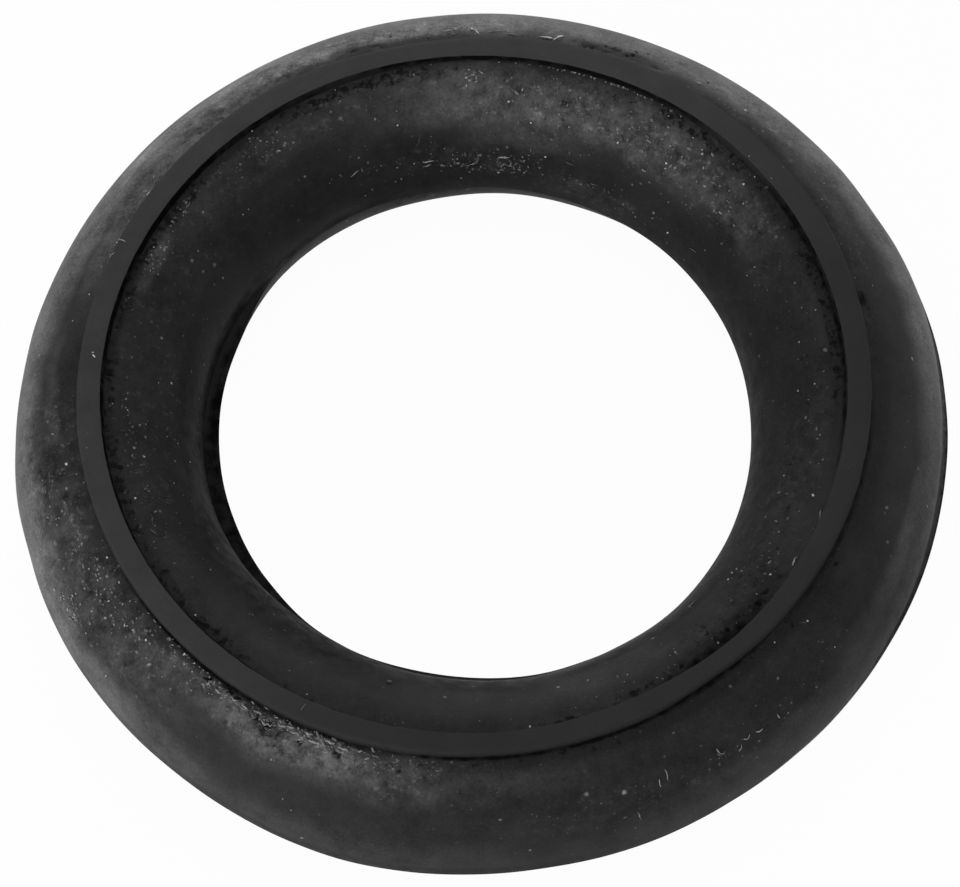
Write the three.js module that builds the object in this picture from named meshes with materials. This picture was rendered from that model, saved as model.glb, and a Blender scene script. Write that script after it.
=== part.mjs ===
// Exhaust hanger rubber: one solid moulded ring that is stretched over two hooks, one on the
// car's floor and one on the exhaust, and carries the exhaust's weight.
//
// Millimetres, +Z up. The ring lies flat on its lower land, its axis is Z, and the origin is the
// middle of the rectangle that it covers on the surface.
//
// The section is an oval, taller than it is wide. A flat land stands up around each crown,
// where the moulded skin was trimmed. The two mould halves didn't quite meet, so the lower half
// lies a little to one side of the upper half, with a small ledge at the parting line.

import * as THREE from 'three';

// Ring
const OUTER_DIAMETER = 62; // over the rim of one mould half
const BORE_DIAMETER = 37; // of the hole in one mould half, at the parting line
const SECTION_HEIGHT = 14.7; // crown to crown, without the lands

// Land around each crown
const LAND_HEIGHT = 0.65; // above the crown
const LAND_WIDTH = 1.45; // of its flat top
const LAND_OFFSET = 0.37; // of its middle line, outward from the crown
const LAND_DRAFT = 0.08; // by which each wall leans out at its foot

// Mismatch of the mould halves at the parting line
const MISMATCH_X = 0.54; // of the lower half from the upper half
const MISMATCH_Y = 0.68;
const LEDGE_HEIGHT = 0.2; // in which one half passes into the other

// Fineness of the mesh
const STEPS_AROUND = 96; // around the ring's axis
const ARC_STEPS = 4; // pairs of points on each quarter of the section

// Moulded rubber
const RUBBER_COLOUR = 0x2b2b2c;
const RUBBER_ROUGHNESS = 0.62;

// Half the section's width, and the radius on which the section's middle runs
const SECTION_REACH = (OUTER_DIAMETER - BORE_DIAMETER) / 4;
const CROWN_RADIUS = OUTER_DIAMETER / 2 - SECTION_REACH;
const CROWN_HEIGHT = SECTION_HEIGHT / 2;
const LAND_TOP = CROWN_HEIGHT + LAND_HEIGHT;

// The angle on the oval section at which its surface is this far outward from the crown
function angleAt(offset) {
  return Math.acos(offset / SECTION_REACH);
}

// The angle on the oval section at which its surface is this far above the parting line
function angleAtHeight(height) {
  return Math.asin(height / CROWN_HEIGHT);
}

// The upper half of the section, from the rim over the land to the bore, as points of radius
// and height above the parting line
function upperOutline() {
  const landMiddle = CROWN_RADIUS + LAND_OFFSET;
  const ledge = angleAtHeight(LEDGE_HEIGHT / 2);
  const outerFoot = angleAt(LAND_OFFSET + LAND_WIDTH / 2 + LAND_DRAFT);
  const innerFoot = angleAt(LAND_OFFSET - LAND_WIDTH / 2 - LAND_DRAFT);
  const outline = new THREE.Path();
  const arc = (from, to) =>
    outline.absellipse(CROWN_RADIUS, 0, SECTION_REACH, CROWN_HEIGHT, from, to, false);
  arc(ledge, outerFoot);
  outline.lineTo(landMiddle + LAND_WIDTH / 2, LAND_TOP);
  outline.lineTo(landMiddle - LAND_WIDTH / 2, LAND_TOP);
  arc(innerFoot, Math.PI - ledge);
  return outline.getPoints(ARC_STEPS);
}

// The whole section, closed on itself. Both faces are alike, so the lower half is the upper
// half's mirror image, passed the other way.
function sectionOutline() {
  const upper = upperOutline();
  const lower = upper.map((point) => new THREE.Vector2(point.x, -point.y)).reverse();
  return [...upper, ...lower, upper[0].clone()];
}

// Moves each mould half by half the mismatch, away from the other one
function shiftHalves(geometry) {
  const { position } = geometry.attributes;
  for (let i = 0; i < position.count; i += 1) {
    const half = -Math.sign(position.getZ(i)) / 2;
    position.setX(i, position.getX(i) + half * MISMATCH_X);
    position.setY(i, position.getY(i) + half * MISMATCH_Y);
  }
}

// The ring: the section turned about the axis, shifted at the parting line, and set down on its
// lower land
function ringGeometry() {
  const geometry = new THREE.LatheGeometry(sectionOutline(), STEPS_AROUND);
  geometry.rotateX(Math.PI / 2);
  shiftHalves(geometry);
  geometry.translate(0, 0, LAND_TOP);
  geometry.computeVertexNormals();
  return geometry;
}

const rubber = new THREE.MeshStandardMaterial({
  name: 'black_rubber',
  color: RUBBER_COLOUR,
  roughness: RUBBER_ROUGHNESS,
  metalness: 0,
});

const ring = new THREE.Mesh(ringGeometry(), rubber);
ring.name = 'hanger_ring';

const hanger = new THREE.Group();
hanger.add(ring);

export default hanger;
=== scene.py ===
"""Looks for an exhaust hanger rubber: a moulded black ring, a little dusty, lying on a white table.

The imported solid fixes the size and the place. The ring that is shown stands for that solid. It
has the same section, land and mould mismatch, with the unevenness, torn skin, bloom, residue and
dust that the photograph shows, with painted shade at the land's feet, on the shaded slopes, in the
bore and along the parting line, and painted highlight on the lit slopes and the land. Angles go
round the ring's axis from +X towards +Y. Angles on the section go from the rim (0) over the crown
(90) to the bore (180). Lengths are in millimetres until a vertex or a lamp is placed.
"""

import logging
import math
import random
from dataclasses import dataclass, field
from enum import Enum
from functools import reduce
from typing import Iterable, Optional, Union

import bmesh
import bpy
from mathutils import Matrix, Vector, noise
from mathutils.bvhtree import BVHTree


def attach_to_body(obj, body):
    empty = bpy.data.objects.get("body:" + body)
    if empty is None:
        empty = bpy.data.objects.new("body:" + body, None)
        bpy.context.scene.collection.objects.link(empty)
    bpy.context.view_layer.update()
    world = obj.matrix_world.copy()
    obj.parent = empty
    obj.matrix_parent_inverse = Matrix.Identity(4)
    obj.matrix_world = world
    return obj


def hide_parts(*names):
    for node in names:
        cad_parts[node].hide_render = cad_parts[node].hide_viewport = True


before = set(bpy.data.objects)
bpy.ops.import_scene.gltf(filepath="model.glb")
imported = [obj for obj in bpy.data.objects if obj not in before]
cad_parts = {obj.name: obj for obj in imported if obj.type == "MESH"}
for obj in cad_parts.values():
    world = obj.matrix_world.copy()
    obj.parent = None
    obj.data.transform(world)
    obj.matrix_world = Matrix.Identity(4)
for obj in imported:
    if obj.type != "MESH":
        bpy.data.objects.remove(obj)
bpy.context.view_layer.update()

RING_NODE = "hanger_ring"
ROOT_BODY = "root"
MM = 0.001
FULL_TURN = 2 * math.pi
CROWN = 90.0
PATCH_PLATEAU = 1.5  # so that the inner third of a patch has its full strength
ROUND_MIDDLE = 0.3  # of an edge's radius: how far its middle lies from the sharp corner
SOFT_NOISE = 0.55  # how strong the finer layers of the smoother noises are
FINE_SEED = 5.0  # keeps the land's fine ripple apart from its slow one
CREASE_SEED = 4.0  # keeps the crease apart from both
CREASE_RATE = 1.1  # how fast the crease changes, for each degree
KINDS = ("torn", "grime_and_shade", "painted_shade", "bloom_and_highlight", "dust", "scuff")  # the fields of SurfaceMap, as slices
SETTLED = ("grime_and_shade", "painted_shade")  # lie exactly in their patches
LOOSE = ("bloom_and_highlight", "dust", "scuff")  # have wandering edges

log = logging.getLogger("hanger")

Colour = tuple[float, float, float, float]
Row = tuple[float, float, float]


def grey(level: float) -> Colour:
    """A neutral colour of one linear level."""
    return (level, level, level, 1.0)


def smooth(share: float) -> float:
    """Eases a share from 0 to 1.

    Args:
        share: Any number.

    Returns:
        0 below 0, 1 above 1, and a soft ramp in between.
    """
    share = min(max(share, 0.0), 1.0)
    return share * share * (3 - 2 * share)


def strewn(*key: float) -> float:
    """Even noise from -1 to 1 at a place of up to three numbers."""
    return noise.noise(Vector((*key, 0.0, 0.0)[:3]))


def turn_between(angle: float, centre: float) -> float:
    """The signed angle from centre to angle, in degrees, the short way round."""
    return (angle - centre + 180.0) % 360.0 - 180.0


def make_object(
    name: str, bm: bmesh.types.BMesh, material: bpy.types.Material, smoothed: bool = True
) -> bpy.types.Object:
    """Ends a bmesh and puts it into the scene.

    Args:
        name: The object's name.
        bm: The mesh, which is freed.
        material: Its material.
        smoothed: Whether it is shaded smooth.

    Returns:
        The object, at the origin.
    """
    mesh = bpy.data.meshes.new(name)
    bm.to_mesh(mesh)
    bm.free()
    mesh.materials.append(material)
    if smoothed:
        mesh.shade_smooth()
    piece = bpy.data.objects.new(name, mesh)
    bpy.context.scene.collection.objects.link(piece)
    return piece


class Face(Enum):
    """The two mould halves of the ring."""

    UPPER = 1
    LOWER = -1


@dataclass(frozen=True)
class Swell:
    """A local swelling along the ring.

    Attributes:
        angle: Its middle, in degrees round the ring.
        spread: How far it reaches to each side, in degrees.
        amount: How high it is at its middle.
    """

    angle: float
    spread: float
    amount: float

    def at(self, angle: float) -> float:
        """Its height at an angle in degrees."""
        return self.amount * smooth(1 - abs(turn_between(angle, self.angle)) / self.spread)


def total(swells: Iterable[Swell], angle: float) -> float:
    """The sum of several swellings at an angle in degrees."""
    return sum(swell.at(angle) for swell in swells)


@dataclass(frozen=True)
class Patch:
    """A soft-edged area of the ring's surface that carries more of something.

    Attributes:
        angle: Its middle, in degrees round the ring.
        section: Its middle on the section, in degrees.
        spread: How far it reaches to each side round the ring, in degrees.
        reach: How far it reaches to each side on the section, in degrees.
        amount: How strong it is at its middle, from 0 to 1.
        face: The only mould half that has it, or None for both.
    """

    angle: float
    section: float
    spread: float
    reach: float
    amount: float
    face: Optional[Face] = None

    def along(self, angle: float) -> float:
        """Its strength at an angle, on the middle of its reach."""
        away = abs(turn_between(angle, self.angle)) / self.spread
        return self.amount * smooth(PATCH_PLATEAU * (1 - away))

    def across(self, section: float) -> float:
        """The share of that strength at a place on the section."""
        return smooth(PATCH_PLATEAU * (1 - abs(section - self.section) / self.reach))


Slice = list[tuple[float, Patch]]


def cut(patches: Iterable[Patch], angle: float, face: Face) -> Slice:
    """Cuts a slice through some patches at one angle.

    Args:
        patches: The patches.
        angle: Degrees round the ring.
        face: The mould half.

    Returns:
        The patches that reach there, each with its strength at that angle.
    """
    shares = [(patch.along(angle), patch) for patch in patches if patch.face in (None, face)]
    return [(share, patch) for share, patch in shares if share > 0]


def strongest(piece: Slice, section: float) -> float:
    """The strongest of the patches of a slice at a place on the section."""
    return max((share * patch.across(section) for share, patch in piece), default=0.0)


@dataclass(frozen=True)
class RimFilmAndHighlight:
    """The pale film on the outer slope with a painted rim highlight, which is widest at the back of
    the ring.

    Attributes:
        angle: Its middle, in degrees round the ring.
        spread: How far it reaches to each side round the ring, in degrees.
        fade: Over how many degrees it fades out at its two ends.
        narrow: How far up the section it reaches near its ends, in degrees.
        widen: How much further it reaches at its middle, in degrees.
        soft: Over how many degrees of the section its edge fades out.
        dents: Where its edge lies lower.
    """

    angle: float = 106.0
    spread: float = 146.0
    fade: float = 50.0
    narrow: float = 38.0
    widen: float = 40.0
    soft: float = 22.0
    dents: tuple[Swell, ...] = (
        Swell(178, 36, -14),
        Swell(20, 30, -5),
        Swell(214, 16, -7),
        Swell(36, 12, -3),
    )

    def at(self, angle: float, section: float) -> float:
        """Gives the strength of the film and its painted highlight at a place on the skin.

        Args:
            angle: Degrees round the ring.
            section: Degrees on the section.

        Returns:
            A share from 0 to 1.
        """
        away = abs(turn_between(angle, self.angle))
        edge = self.narrow + self.widen * smooth(PATCH_PLATEAU * (1 - away / self.spread))
        edge += total(self.dents, angle)
        return smooth((self.spread - away) / self.fade) * smooth((edge - section) / self.soft)


@dataclass(frozen=True)
class SurfaceMap:
    """Where the skin is torn, pale, dusty or dark, and where shade and highlight are painted, as
    the photograph shows it.

    Attributes:
        film_and_highlight: The pale film on the outer slope, with a painted rim highlight.
        torn: Where the skin is pitted in its shape.
        grime_and_shade: Where ragged dark residue lies, partly real residue and partly painted
        shade at the land's feet.
        painted_shade: Painted shade at the land's feet, on the shaded slopes, in the bore and
        along the parting line.
        bloom_and_highlight: Where the rubber has bloomed pale, and where highlight and sheen are
        painted on the lit slopes and the land.
        dust: Where dust and powder lie.
        scuff: Where the skin is torn open to a paler inside.
    """

    film_and_highlight: RimFilmAndHighlight = RimFilmAndHighlight()
    torn: tuple[Patch, ...] = (
        Patch(250, 74, 22, 8, 1.2),
        Patch(236, 75, 12, 7, 1.1),
        Patch(216, 77, 9, 5, 0.6),
        Patch(69, 71, 10, 6, 0.9),
        Patch(140, 72, 22, 6, 0.4),
        Patch(112, 74, 14, 4, 0.5),
        Patch(315, 98, 11, 6, 1.2),
        Patch(304, 99, 9, 5, 0.8),
        Patch(318, 108, 14, 10, 0.5),
        Patch(322, 120, 6, 6, 0.8),
        Patch(319, 133, 4, 3, 0.5),
        Patch(12, 98, 32, 6, 0.7),
        Patch(50, 98, 16, 5, 0.5),
        Patch(165, 97, 30, 5, 0.6),
        Patch(212, 97, 26, 5, 0.6),
        Patch(118, 98, 24, 5, 0.5),
        Patch(13.5, 76, 1.5, 3, 0.9),
        Patch(190.5, 68, 1.6, 2.5, 0.9),
        Patch(286, 99, 3, 3, 0.9),
        Patch(292, 98, 3, 3, 0.7),
    )
    # Partly real ragged residue, partly painted shade in the crease at the land's feet.
    grime_and_shade: tuple[Patch, ...] = (
        Patch(315, 98, 13, 8, 0.85),
        Patch(317, 106, 22, 20, 0.5),
        Patch(300, 98, 14, 5, 0.7),
        Patch(286, 96, 14, 4, 0.6),
        Patch(14, 98, 32, 8, 0.8),
        Patch(4, 118, 26, 20, 0.42),
        Patch(338, 120, 26, 22, 0.42),
        Patch(48, 98, 20, 7, 0.7),
        Patch(112, 99, 28, 8, 0.75),
        Patch(66, 101, 12, 7, 0.55),
        Patch(155, 97, 28, 9, 0.78),
        Patch(190, 97, 28, 8, 0.8),
        Patch(222, 97, 22, 8, 0.75),
        Patch(248, 95, 18, 4, 0.6),
        Patch(240, 74, 26, 8, 0.42),
        Patch(200, 62, 26, 24, 0.22),
        Patch(118, 72, 44, 7, 0.42),
        Patch(69, 70, 9, 5, 0.7),
        Patch(138, 71, 5, 4, 0.5),
        Patch(283, 77, 30, 6, 0.55),
        Patch(325, 77, 30, 7, 0.6),
        Patch(5, 76, 26, 5, 0.4),
        Patch(322, 118, 6, 6, 0.5),
    )
    # Painted shade: dark lines at the land's feet, the shaded bore and slopes, and the dark strip
    # along the parting line.
    painted_shade: tuple[Patch, ...] = (
        Patch(195, 172, 60, 18, 1.0, Face.LOWER),
        Patch(203, 179, 34, 4, 0.8, Face.UPPER),
        Patch(2, 0, 52, 8, 0.9, Face.LOWER),
        Patch(228, 150, 50, 42, 0.5, Face.UPPER),
        Patch(5, 158, 64, 34, 0.3),
        Patch(345, 14, 26, 24, 0.3),
        Patch(172, 93.0, 84, 2.7, 1.2),
        Patch(172, 96, 84, 5.5, 0.35),
        Patch(226, 93.2, 16, 3.2, 1.1),
        Patch(14, 94.0, 36, 2.8, 1.2),
        Patch(14, 98, 36, 6, 0.35),
        Patch(311, 95.6, 14, 5.2, 0.9),
        Patch(316, 99, 13, 9, 0.5),
        Patch(80, 92.8, 44, 2.0, 1.3),
        Patch(262, 92.6, 40, 1.4, 0.7),
        Patch(288, 82, 44, 4.6, 1.3),
        Patch(300, 77, 56, 8, 0.4),
        Patch(338, 80, 30, 5, 0.7),
        Patch(236, 80.5, 34, 3.6, 1.2),
        Patch(350, 72, 24, 8, 0.2),
        Patch(69, 71, 10, 5, 0.5),
        Patch(250, 3, 48, 8, 0.35),
        Patch(8, 128, 22, 22, 0.24),
        Patch(188, 166, 20, 13, 0.5),
        Patch(186, 150, 24, 14, 0.4),
        Patch(58, 171, 62, 12, 0.25),
        Patch(104, 168, 18, 12, 0.32),
        Patch(66, 105, 7, 5, 0.3),
        Patch(13.5, 77, 1.6, 3.5, 1.0),
        Patch(268, 140, 22, 18, 0.35),
        Patch(302, 138, 30, 10, 0.3),
        Patch(162, 174, 30, 8, 0.6, Face.UPPER),
        Patch(122, 178, 30, 5, 0.4),
    )
    # Partly real pale bloom, partly painted highlight and sheen where light falls on the slopes and
    # the land.
    bloom_and_highlight: tuple[Patch, ...] = (
        Patch(75, 116, 42, 24, 0.5),
        Patch(205, 21, 12, 11, 1.4),
        Patch(157, 103, 8, 7, 0.4),
        Patch(143, 112, 18, 16, 0.1),
        Patch(85, 99, 8, 4, 0.3),
        Patch(66, 168, 15, 12, 0.22),
        Patch(80, 138, 14, 12, 0.3),
        Patch(190, CROWN, 78, 3, 0.14),
        Patch(40, 117, 14, 18, 0.3),
        Patch(104, 61, 38, 14, 1.25),
        Patch(132, 47, 28, 12, 1.75),
        Patch(246, 67, 19, 14, 0.78),
        Patch(229, 66, 14, 11, 0.4),
        Patch(276, 66, 14, 14, 0.14),
        Patch(180, 60, 13, 8, 0.2),
        Patch(112, 112, 34, 14, 0.1),
        Patch(212, 55, 26, 26, 0.22),
        Patch(250, 66, 26, 20, 0.34),
        Patch(246, 10, 34, 24, 0.2),
        Patch(313, 20, 34, 20, 0.16),
        Patch(350, 35, 28, 12, 0.34),
        Patch(38, 66, 26, 14, 0.12),
        Patch(140, 73, 34, 12, 0.6),
        Patch(132, 172, 28, 7, 0.06),
        Patch(198, 162, 34, 6, 0.08),
        Patch(66, 170, 9, 9, 0.14),
        Patch(295, 123, 16, 16, 0.1),
        Patch(100, CROWN, 90, 3, 0.16),
    )
    dust: tuple[Patch, ...] = (
        Patch(60, 118, 50, 26, 0.9),
        Patch(66, 168, 18, 14, 0.9),
        Patch(186, 165, 42, 8, 0.8),
        Patch(92, 156, 22, 14, 0.7),
        Patch(205, 58, 32, 30, 1.0),
        Patch(120, 108, 50, 18, 0.5),
        Patch(180, 125, 44, 30, 0.4),
        Patch(250, 68, 30, 14, 0.8),
        Patch(110, 66, 60, 14, 0.6),
        Patch(40, 68, 30, 18, 0.5),
        Patch(300, 42, 34, 14, 0.3),
        Patch(335, 122, 30, 24, 0.28),
    )
    scuff: tuple[Patch, ...] = (
        Patch(249, 75, 10, 7, 1.15),
        Patch(239, 73, 16, 8, 0.95),
        Patch(258, 73, 14, 8, 0.8),
        Patch(228, 74, 10, 6, 0.6),
        Patch(75, 106, 24, 14, 0.3),
        Patch(60, 118, 20, 16, 0.3),
        Patch(92, 156, 16, 8, 0.35),
        Patch(209, 34, 7, 14, 0.6),
        Patch(84, 69, 8, 5, 0.5),
        Patch(147, 74, 5, 4, 0.6),
        Patch(52, 72, 8, 5, 0.4),
        Patch(99, 101, 6, 4, 0.4),
        Patch(130, 107, 6, 6, 0.4),
        Patch(157, 103, 6, 6, 0.7),
        Patch(147, 102, 4, 4, 0.4),
        Patch(70, 176, 16, 20, 0.4),
    )


@dataclass
class Column:
    """What all points at one angle of one mould half share.

    Attributes:
        angle: Degrees round the ring.
        face: The mould half.
        rows: Each row's distance outward from the crown, height and section angle.
        rim: How far the rim stands out beyond the true round.
        bore: How far the bore stands in within it.
        lip: How far the lower half's lip stands into the hole.
        surface_marks: A slice of each kind of mark, painted shade and highlight among them.
    """

    angle: float
    face: Face
    rows: list[Row]
    rim: float
    bore: float
    lip: float
    surface_marks: dict[str, Slice]


@dataclass
class RingForm:
    """The ring's true form, as a point for each angle and each row of its section.

    Lengths are in millimetres and angles in degrees.

    Attributes:
        crown_radius: The radius on which both crowns run.
        reach: Half the section's width.
        crown_height: The crown's height above the parting line.
        land_height: The land's height above the crown.
        land_inner: The radius of the land's inner edge.
        land_outer: The radius of the land's outer edge.
        land_draft: By how much each wall of the land leans out at its foot.
        land_round: The radius on the land's two edges.
        land_row_count: The number of rows on the land.
        land_wall: The section angle between the crown and the rows of the land's walls.
        mismatch: How far the lower mould half lies from the upper one, along X and Y.
        seam_rows: The heights of the close rows beside the parting line.
        arc_rows: The number of rows on each side of the land, for each mould half.
        arc_crowding: How much closer those rows lie near the land, where 1 is even.
        steps_around: The number of columns round the ring.
        coarse_steps: The number of steps of the first spin.
        inner_wander: Where the land's inner edge leaves its true round.
        outer_wander: Where the land's outer edge leaves its true round.
        mirror_turn: Adds to the angle at which the lower land takes the upper one's edges.
        ripple: The sizes and rates of the two fine ripples of the land's edges.
        outer_fill: Where the skin beside the land's outer wall is filled up.
        fill_reach: How far from the land that filling goes.
        rim_growth: How far the rim stands out all round.
        rim_swells: Where each half's rim stands out further.
        bore_growth: How far the bore stands in all round.
        bore_swells: Where each half's bore stands in further.
        lip: Where the lower half's torn lip stands into the hole, and how far.
        lip_rows: The share of that for each row from the parting line on.
        crease: Where the upper half's edge is ragged above the lip, and how much.
        crease_rows: The number of rows over which that fades out.
    """

    crown_radius: float = 24.75
    reach: float = 6.25
    crown_height: float = 7.35
    land_height: float = 0.65
    land_inner: float = 24.39
    land_outer: float = 25.86
    land_draft: float = 0.08
    land_round: float = 0.05
    land_row_count: int = 11
    land_wall: float = 2.5
    mismatch: tuple[float, float] = (0.54, 0.68)
    seam_rows: tuple[float, ...] = (0.1, 0.24, 0.36, 0.6, 0.9, 1.3)
    arc_rows: dict[Face, int] = field(default_factory=lambda: {Face.UPPER: 35, Face.LOWER: 10})
    arc_crowding: float = 1.25
    steps_around: int = 720
    coarse_steps: int = 45
    inner_wander: tuple[Swell, ...] = (
        Swell(85, 30, -0.08),
        Swell(12, 34, -0.05),
        Swell(295, 18, -0.08),
        Swell(317, 24, 0.12),
    )
    outer_wander: tuple[Swell, ...] = (
        Swell(60, 50, 0.12),
        Swell(100, 22, -0.2),
        Swell(135, 45, 0.05),
        Swell(187, 22, 0.06),
        Swell(250, 50, -0.13),
        Swell(296, 9, 0.05),
        Swell(306, 12, -0.1),
        Swell(300, 54, -0.18),
    )
    mirror_turn: float = 150.0
    ripple: tuple[tuple[float, float], ...] = ((0.03, 0.35), (0.015, 1.4))
    outer_fill: tuple[Swell, ...] = (Swell(42, 38, 1.3),)
    fill_reach: float = 2.4
    rim_growth: float = 0.05
    rim_swells: dict[Face, tuple[Swell, ...]] = field(
        default_factory=lambda: {
            Face.UPPER: (
                Swell(20, 36, 0.36),
                Swell(56, 22, 0.08),
                Swell(185, 14, 0.12),
                Swell(184, 24, -0.12),
                Swell(255, 26, 0.22),
                Swell(290, 16, 0.07),
                Swell(155, 14, -0.08),
                Swell(191, 8, 0.1),
                Swell(232, 24, -0.07),
                Swell(30, 7, -0.1),
            ),
            Face.LOWER: (Swell(32, 24, -0.2), Swell(252, 26, 0.2), Swell(185, 16, 0.15)),
        }
    )
    bore_growth: float = 0.08
    bore_swells: dict[Face, tuple[Swell, ...]] = field(
        default_factory=lambda: {
            Face.UPPER: (
                Swell(313, 48, -0.3),
                Swell(240, 26, 0.3),
                Swell(222, 24, 0.15),
                Swell(281, 22, -0.2),
                Swell(312, 16, -0.05),
                Swell(104, 14, 0.06),
                Swell(70, 20, 0.06),
            ),
            Face.LOWER: (
                Swell(238, 24, -0.18),
                Swell(220, 14, 0.08),
                Swell(284, 20, -0.12),
                Swell(312, 24, -0.3),
                Swell(104, 14, 0.06),
                Swell(128, 30, -0.1),
                Swell(355, 36, 0.1),
                Swell(158, 20, 0.26),
                Swell(70, 20, 0.06),
                Swell(205, 14, 0.08),
            ),
        }
    )
    lip: tuple[Swell, ...] = (Swell(180, 46, 0.45),)
    lip_rows: tuple[float, ...] = (0.0, 0.0, 1.0, 0.9, 0.5, 0.15)
    crease: tuple[Swell, ...] = (Swell(208, 28, 0.16),)
    crease_rows: int = 5

    @property
    def top(self) -> float:
        """The height of the land's top above the parting line."""
        return self.crown_height + self.land_height

    def oval_height(self, across: float) -> float:
        """The height of the plain oval section.

        Args:
            across: The distance outward from the crown.

        Returns:
            The height above the parting line.
        """
        return self.crown_height * math.sqrt(max(1 - (across / self.reach) ** 2, 0.0))

    def land_edges(self, angle: float, face: Face) -> tuple[float, float]:
        """Finds the land's two edges at one angle.

        Args:
            angle: Degrees round the ring.
            face: The mould half.

        Returns:
            The distances of the inner and the outer edge outward from the crown.
        """
        where = angle if face is Face.UPPER else self.mirror_turn - angle
        (slow, slow_rate), (fine, fine_rate) = self.ripple
        ripple = slow * strewn(where * slow_rate, face.value)
        ripple += fine * strewn(where * fine_rate, face.value, FINE_SEED)
        inner = self.land_inner + total(self.inner_wander, where) + ripple
        outer = self.land_outer + total(self.outer_wander, where) - ripple
        return inner - self.crown_radius, outer - self.crown_radius

    def skin_sections(self, foot: float, side: int, face: Face) -> list[float]:
        """The section angles of the rows from the parting line to the land's foot.

        Args:
            foot: The foot's distance outward from the crown.
            side: 1 for the rim's side and -1 for the bore's.
            face: The mould half.

        Returns:
            Angles in degrees, from 0 at the rim to 90 at the crown, or to 180 at the bore.
        """
        seam = [math.asin(height / self.crown_height) for height in self.seam_rows]
        last = math.acos(side * foot / self.reach)
        count = self.arc_rows[face]
        shares = [1 - (1 - (step + 1) / count) ** self.arc_crowding for step in range(count)]
        arc = [seam[-1] + (last - seam[-1]) * share for share in shares]
        return [math.degrees(a) if side > 0 else 180 - math.degrees(a) for a in seam + arc]

    def filled(self, angle: float, face: Face) -> float:
        """How far the skin beside the land's outer wall is filled up, from 0 to 1."""
        return min(total(self.outer_fill, angle), 1.0) if face is Face.UPPER else 0.0

    def skin_rows(self, angle: float, foot: float, side: int, face: Face) -> list[Row]:
        """Lists the points on the skin from the parting line to the land's foot.

        Args:
            angle: Degrees round the ring.
            foot: The foot's distance outward from the crown.
            side: 1 for the rim's side and -1 for the bore's.
            face: The mould half.

        Returns:
            For each row its distance outward from the crown, height and section angle.
        """
        fill = self.filled(angle, face) if side > 0 else 0.0
        lift = fill * (self.top - self.oval_height(foot))
        rows = []
        for section in self.skin_sections(foot, side, face):
            across = self.reach * math.cos(math.radians(section))
            height = self.oval_height(across)
            height += lift * smooth(1 - abs(across - foot) / self.fill_reach)
            rows.append((across, height, section))
        return rows

    def land_rows(self, angle: float, face: Face) -> list[Row]:
        """Lists the points on the land from its outer wall over its flat top to its inner wall.

        Args:
            angle: Degrees round the ring.
            face: The mould half.

        Returns:
            For each row its distance outward from the crown, height and section angle.
        """
        inner, outer = self.land_edges(angle, face)
        soft = self.land_round
        bevel = ROUND_MIDDLE * soft
        wall = self.land_wall
        bare = 1 - self.filled(angle, face)
        rows = [
            (outer + self.land_draft / 2, self.top - bare * self.land_height / 2, CROWN - wall),
            (outer, self.top - bare * soft, CROWN - wall),
            (outer - bevel, self.top - bare * bevel, CROWN),
            (outer - soft, self.top, CROWN),
        ]
        flat = inner - outer + 2 * soft
        rows += [(outer - soft + flat * k / 4, self.top, CROWN) for k in (1, 2, 3)]
        rows += [
            (inner + soft, self.top, CROWN),
            (inner + bevel, self.top - bevel, CROWN),
            (inner, self.top - soft, CROWN + wall),
            (inner - self.land_draft / 2, self.top - self.land_height / 2, CROWN + wall),
        ]
        return rows

    def column(self, angle: float, face: Face, surface_marks: SurfaceMap) -> Column:
        """Gathers all that the points at one angle of one mould half share.

        Args:
            angle: Degrees round the ring.
            face: The mould half.
            surface_marks: What the skin carries, with the painted shade and highlight.

        Returns:
            The column, with its rows from the rim's parting line to the bore's.
        """
        inner, outer = self.land_edges(angle, face)
        rim = self.skin_rows(angle, outer + self.land_draft, 1, face)
        bore = self.skin_rows(angle, inner - self.land_draft, -1, face)
        if face is Face.LOWER:
            ragged = total(self.lip, angle)
        else:
            ragged = total(self.crease, angle) * strewn(angle * CREASE_RATE, CREASE_SEED)
        return Column(
            angle=angle,
            face=face,
            rows=rim + self.land_rows(angle, face) + bore[::-1],
            rim=self.rim_growth + total(self.rim_swells[face], angle),
            bore=self.bore_growth + total(self.bore_swells[face], angle),
            lip=ragged,
            surface_marks={kind: cut(getattr(surface_marks, kind), angle, face) for kind in KINDS},
        )

    def is_skin(self, row: int, face: Face) -> bool:
        """Whether a row of one half lies on the skin, and not on the land or its walls."""
        skin = len(self.seam_rows) + self.arc_rows[face]
        return row < skin or row >= skin + self.land_row_count

    def half_size(self, face: Face) -> int:
        """The number of rows in one half."""
        return 2 * (len(self.seam_rows) + self.arc_rows[face]) + self.land_row_count

    def swell(self, column: Column, section: float, row: int) -> float:
        """Finds how far a point leaves the true round.

        Args:
            column: The point's column.
            section: Degrees on the section.
            row: The point's row.

        Returns:
            The distance outward from the ring's axis, in millimetres.
        """
        lean = math.cos(math.radians(section))
        if lean > 0:
            return column.rim * lean
        inward = column.bore * -lean
        from_seam = self.half_size(column.face) - 1 - row
        if from_seam < len(self.lip_rows):
            lower = column.face is Face.LOWER
            inward += column.lip * (
                self.lip_rows[from_seam] if lower else 1 - from_seam / self.crease_rows
            )
        return -inward

    def place(self, angle: float, across: float, height: float, face: Face) -> Vector:
        """Sets a point of the section into the ring.

        Args:
            angle: Degrees round the ring.
            across: The distance outward from the crown.
            height: The height above the parting line, or below it in the lower half.
            face: The mould half.

        Returns:
            The point in millimetres, in the part's frame.
        """
        turn = math.radians(angle)
        radius = self.crown_radius + across
        side = -face.value / 2
        return Vector(
            (
                radius * math.cos(turn) + side * self.mismatch[0],
                radius * math.sin(turn) + side * self.mismatch[1],
                self.top + face.value * height,
            )
        )

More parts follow.
